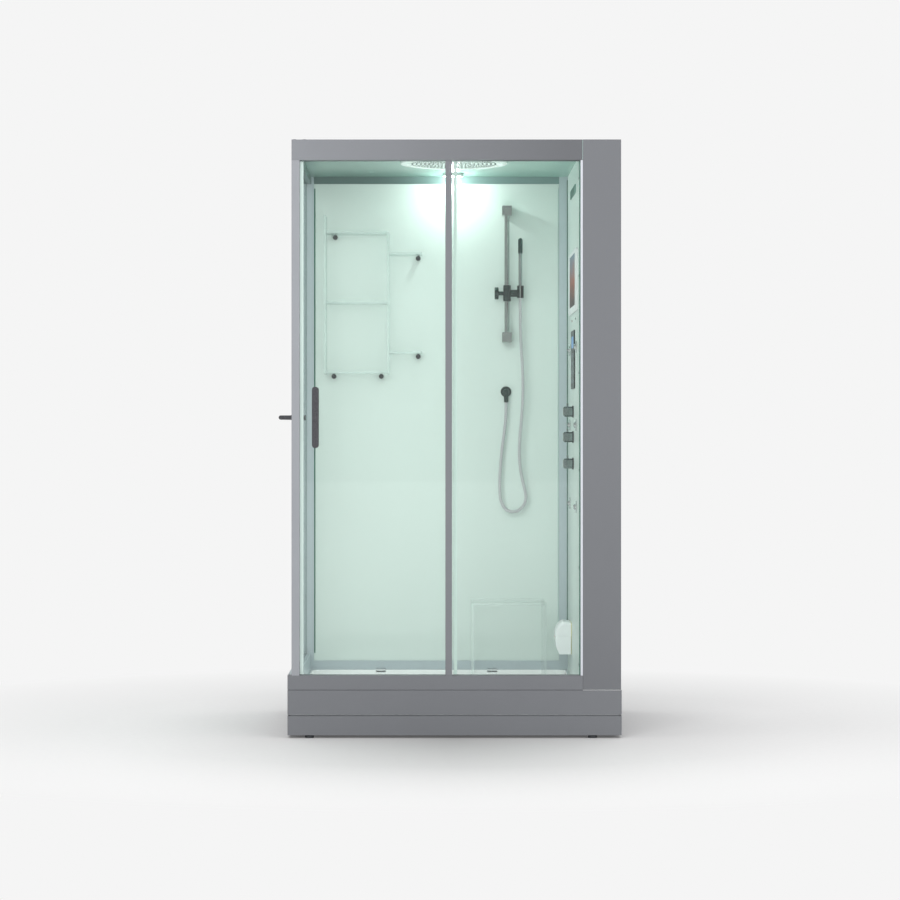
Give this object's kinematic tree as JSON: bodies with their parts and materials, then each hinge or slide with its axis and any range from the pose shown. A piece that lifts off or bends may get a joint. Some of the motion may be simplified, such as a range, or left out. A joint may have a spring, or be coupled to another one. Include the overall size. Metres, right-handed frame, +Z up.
{
  "type": "steam shower cabin",
  "caption": "Rectangular steam shower cabin: tray, sliding glass door, fixed pane, service column with controls, rail hand shower, rain shower and steam outlet.",
  "frame": {"origin": "on the floor under the middle of the 1200 by 900 mm base, at the middle levelling foot", "axes": "+X to the right seen from the front, +Y to the rear wall, +Z up"},
  "size_m": [1.244, 0.9, 2.153],
  "materials": {
    "grey_frame": "satin grey powder coat",
    "inner_frame": "satin anodised, light blue-grey",
    "white_trim": "white gloss",
    "tray_white": "white acrylic gloss",
    "ceiling_green": "pale green gloss",
    "rear_green": "pale green back-painted panel, gloss",
    "clear_glass": "clear tempered glass with green edges",
    "clear_acrylic": "clear acrylic, polished edges",
    "dark_grip": "dark grey satin",
    "bright_chrome": "polished chrome",
    "steel": "brushed stainless steel",
    "galvanised": "galvanised steel",
    "black_plastic": "matte black",
    "nylon": "white nylon",
    "seal_clear": "clear flexible seal",
    "screen_glass": "dark glossy screen",
    "lamp_lens": "frosted lens in a chrome bezel",
    "brass_body": "cast brass",
    "boiler_steel": "stainless steel casing"
  },
  "bodies": {
    "root": {"shower_tray": "tray_white", "tray_frame": "galvanised", "levelling_feet": "black_plastic", "front_skirts": "grey_frame", "side_skirts": "grey_frame", "drain_trap": "nylon", "front_bottom_rail": "grey_frame", "side_and_rear_rails": "inner_frame", "front_left_post": "grey_frame", "rear_posts": "inner_frame", "fixed_pane_uprights": "grey_frame", "header": "grey_frame", "roof_panel": "ceiling_green", "rear_panel": "rear_green", "left_glass": "clear_glass", "fixed_front_glass": "clear_glass", "right_panel": "rear_green", "column_front_panel": "grey_frame", "column_shell": "grey_frame", "towel_bar": "dark_grip", "riser_rail": "bright_chrome", "wall_elbow": "bright_chrome", "shower_hose": "bright_chrome", "shelf_unit": "clear_acrylic", "shelf_standoffs": "bright_chrome", "vent_grille": "white_trim", "tv_frame": "white_trim", "tv_screen": "screen_glass", "control_panel": "screen_glass", "valve_plates": "bright_chrome", "mixing_valve": "brass_body", "jet_plates": "bright_chrome", "steam_outlet": "white_trim", "steam_generator": "boiler_steel", "panel_screws": "steel", "rain_shower": "bright_chrome", "ceiling_light": "lamp_lens"},
    "door": {"door_glass": "clear_glass", "door_handle": "dark_grip", "door_hangers_and_guides": "steel", "door_seals": "seal_clear"},
    "left_roller": {"top_roller_left": "nylon"},
    "right_roller": {"top_roller_right": "nylon"},
    "slider": {"rail_slider": "bright_chrome"},
    "clamp_knob": {"slider_knob": "bright_chrome"},
    "cradle": {"shower_cradle": "dark_grip"},
    "wand": {"hand_shower": "bright_chrome"},
    "upper_knob": {"valve_knob_upper": "bright_chrome"},
    "middle_knob": {"valve_knob_middle": "bright_chrome"},
    "lower_knob": {"valve_knob_lower": "bright_chrome"},
    "steam_lid": {"steam_outlet_lid": "white_trim"},
    "fan": {"fan_rotor": "black_plastic"},
    "waste_cover": {"drain_cover": "bright_chrome"},
    "stool": {"stool": "clear_acrylic"},
    "jet_1": {"jet_nozzle_1": "bright_chrome"},
    "jet_2": {"jet_nozzle_2": "bright_chrome"},
    "jet_3": {"jet_nozzle_3": "bright_chrome"},
    "jet_4": {"jet_nozzle_4": "bright_chrome"},
    "jet_5": {"jet_nozzle_5": "bright_chrome"},
    "jet_6": {"jet_nozzle_6": "bright_chrome"}
  },
  "joints": [
    {"name": "door_slide", "type": "slide", "parent": "root", "child": "door", "axis": [1, 0, 0], "range_m": [0, 0.43]},
    {"name": "left_roller_spin", "type": "hinge", "parent": "door", "child": "left_roller", "pos_m": [-0.492, -0.41, 2.1113], "axis": [0, 1, 0], "continuous": true},
    {"name": "right_roller_spin", "type": "hinge", "parent": "door", "child": "right_roller", "pos_m": [-0.055, -0.41, 2.1113], "axis": [0, 1, 0], "continuous": true},
    {"name": "rail_slider_slide", "type": "slide", "parent": "root", "child": "slider", "axis": [0, 0, 1], "range_m": [-0.1, 0.18], "deforming": ["shower_hose"]},
    {"name": "clamp_knob_turn", "type": "hinge", "parent": "slider", "child": "clamp_knob", "pos_m": [0.188, 0.386, 1.64], "axis": [1, 0, 0], "range_deg": [0, 180]},
    {"name": "cradle_tilt", "type": "hinge", "parent": "slider", "child": "cradle", "pos_m": [0.235, 0.386, 1.64], "axis": [1, 0, 0], "range_deg": [-5, 20], "deforming": ["shower_hose"]},
    {"name": "hand_shower_lift", "type": "slide", "parent": "cradle", "child": "wand", "axis": [0, 0, 1], "range_m": [0, 0.055], "deforming": ["shower_hose"]},
    {"name": "upper_knob_turn", "type": "hinge", "parent": "root", "child": "upper_knob", "pos_m": [0.43, 0.02, 1.175], "axis": [1, 0, 0], "range_deg": [-90, 90]},
    {"name": "middle_knob_turn", "type": "hinge", "parent": "root", "child": "middle_knob", "pos_m": [0.43, 0.02, 1.079], "axis": [1, 0, 0], "range_deg": [-90, 90]},
    {"name": "lower_knob_turn", "type": "hinge", "parent": "root", "child": "lower_knob", "pos_m": [0.43, 0.02, 0.979], "axis": [1, 0, 0], "range_deg": [-90, 90]},
    {"name": "steam_lid_lift", "type": "slide", "parent": "root", "child": "steam_lid", "axis": [0, 0, 1], "range_m": [0, 0.05]},
    {"name": "fan_spin", "type": "hinge", "parent": "root", "child": "fan", "pos_m": [0.478, 0.02, 2.004], "axis": [0, 1, 0], "continuous": true},
    {"name": "waste_cover_lift", "type": "slide", "parent": "root", "child": "waste_cover", "axis": [0, 0, 1], "range_m": [0, 0.05]},
    {"name": "stool_lift", "type": "slide", "parent": "root", "child": "stool", "axis": [0, 0, 1], "range_m": [0, 0.2]},
    {"name": "jet_1_swivel", "type": "hinge", "parent": "root", "child": "jet_1", "pos_m": [0.4507, -0.1945, 1.414], "axis": [0, 0, 1], "range_deg": [-15, 15]},
    {"name": "jet_2_swivel", "type": "hinge", "parent": "root", "child": "jet_2", "pos_m": [0.4507, -0.1945, 1.125], "axis": [0, 0, 1], "range_deg": [-15, 15]},
    {"name": "jet_3_swivel", "type": "hinge", "parent": "root", "child": "jet_3", "pos_m": [0.4507, -0.1945, 0.823], "axis": [0, 0, 1], "range_deg": [-15, 15]},
    {"name": "jet_4_swivel", "type": "hinge", "parent": "root", "child": "jet_4", "pos_m": [0.4507, 0.2345, 1.414], "axis": [0, 0, 1], "range_deg": [-15, 15]},
    {"name": "jet_5_swivel", "type": "hinge", "parent": "root", "child": "jet_5", "pos_m": [0.4507, 0.2345, 1.125], "axis": [0, 0, 1], "range_deg": [-15, 15]},
    {"name": "jet_6_swivel", "type": "hinge", "parent": "root", "child": "jet_6", "pos_m": [0.4507, 0.2345, 0.823], "axis": [0, 0, 1], "range_deg": [-15, 15]}
  ],
  "couplings": [
    {"joint": "left_roller_spin", "follows": "door_slide", "rad_per_m": 90.909},
    {"joint": "right_roller_spin", "follows": "door_slide", "rad_per_m": 90.909}
  ]
}
